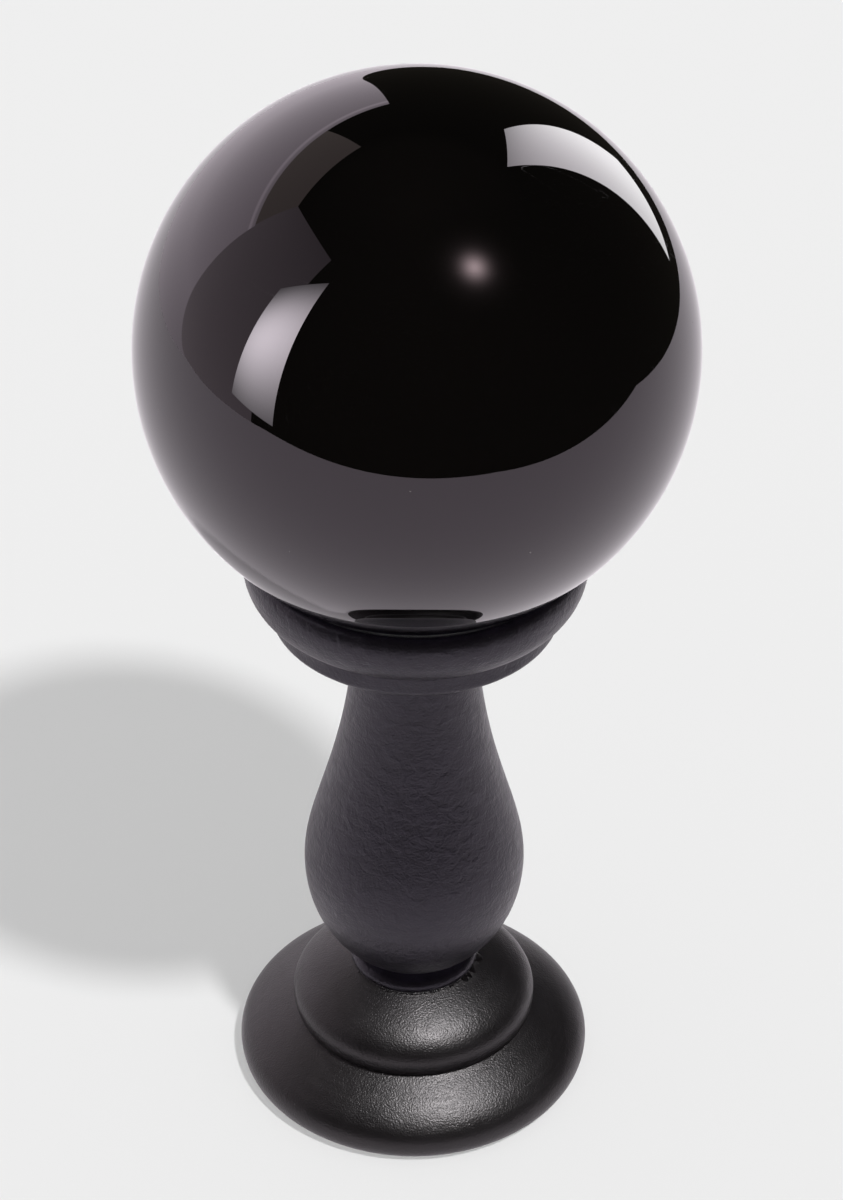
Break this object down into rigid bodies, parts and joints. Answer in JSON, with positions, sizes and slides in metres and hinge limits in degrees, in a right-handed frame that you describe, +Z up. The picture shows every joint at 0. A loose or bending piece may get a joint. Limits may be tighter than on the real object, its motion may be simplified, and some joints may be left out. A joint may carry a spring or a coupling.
{
  "type": "crystal ball",
  "caption": "Solid dark glass ball resting loose in the felt-lined cup of a turned black wooden stand with a pear-shaped stem and round foot.",
  "frame": {"origin": "on the table, under the middle of the foot", "axes": "+Z up along the stand's turning axis, through the middle of the ball; the object is round, so X and Y are free"},
  "size_m": [0.1, 0.1, 0.216],
  "materials": {
    "smoky_glass": "polished solid glass, smoky black",
    "black_painted_wood": "turned hardwood with satin black paint",
    "black_felt": "pressed wool felt",
    "zinc_steel": "bright zinc-plated steel"
  },
  "bodies": {
    "stand": {"foot_pad": "black_felt", "foot": "black_painted_wood", "foot_screw": "zinc_steel", "stem": "black_painted_wood", "cup": "black_painted_wood", "cup_screw": "zinc_steel", "seat_ring": "black_felt"},
    "ball": {"ball": "smoky_glass"}
  },
  "joints": [
    {"name": "ball_lift", "type": "slide", "parent": "stand", "child": "ball", "axis": [0, 0, 1], "range_m": [0, 0.12]}
  ]
}
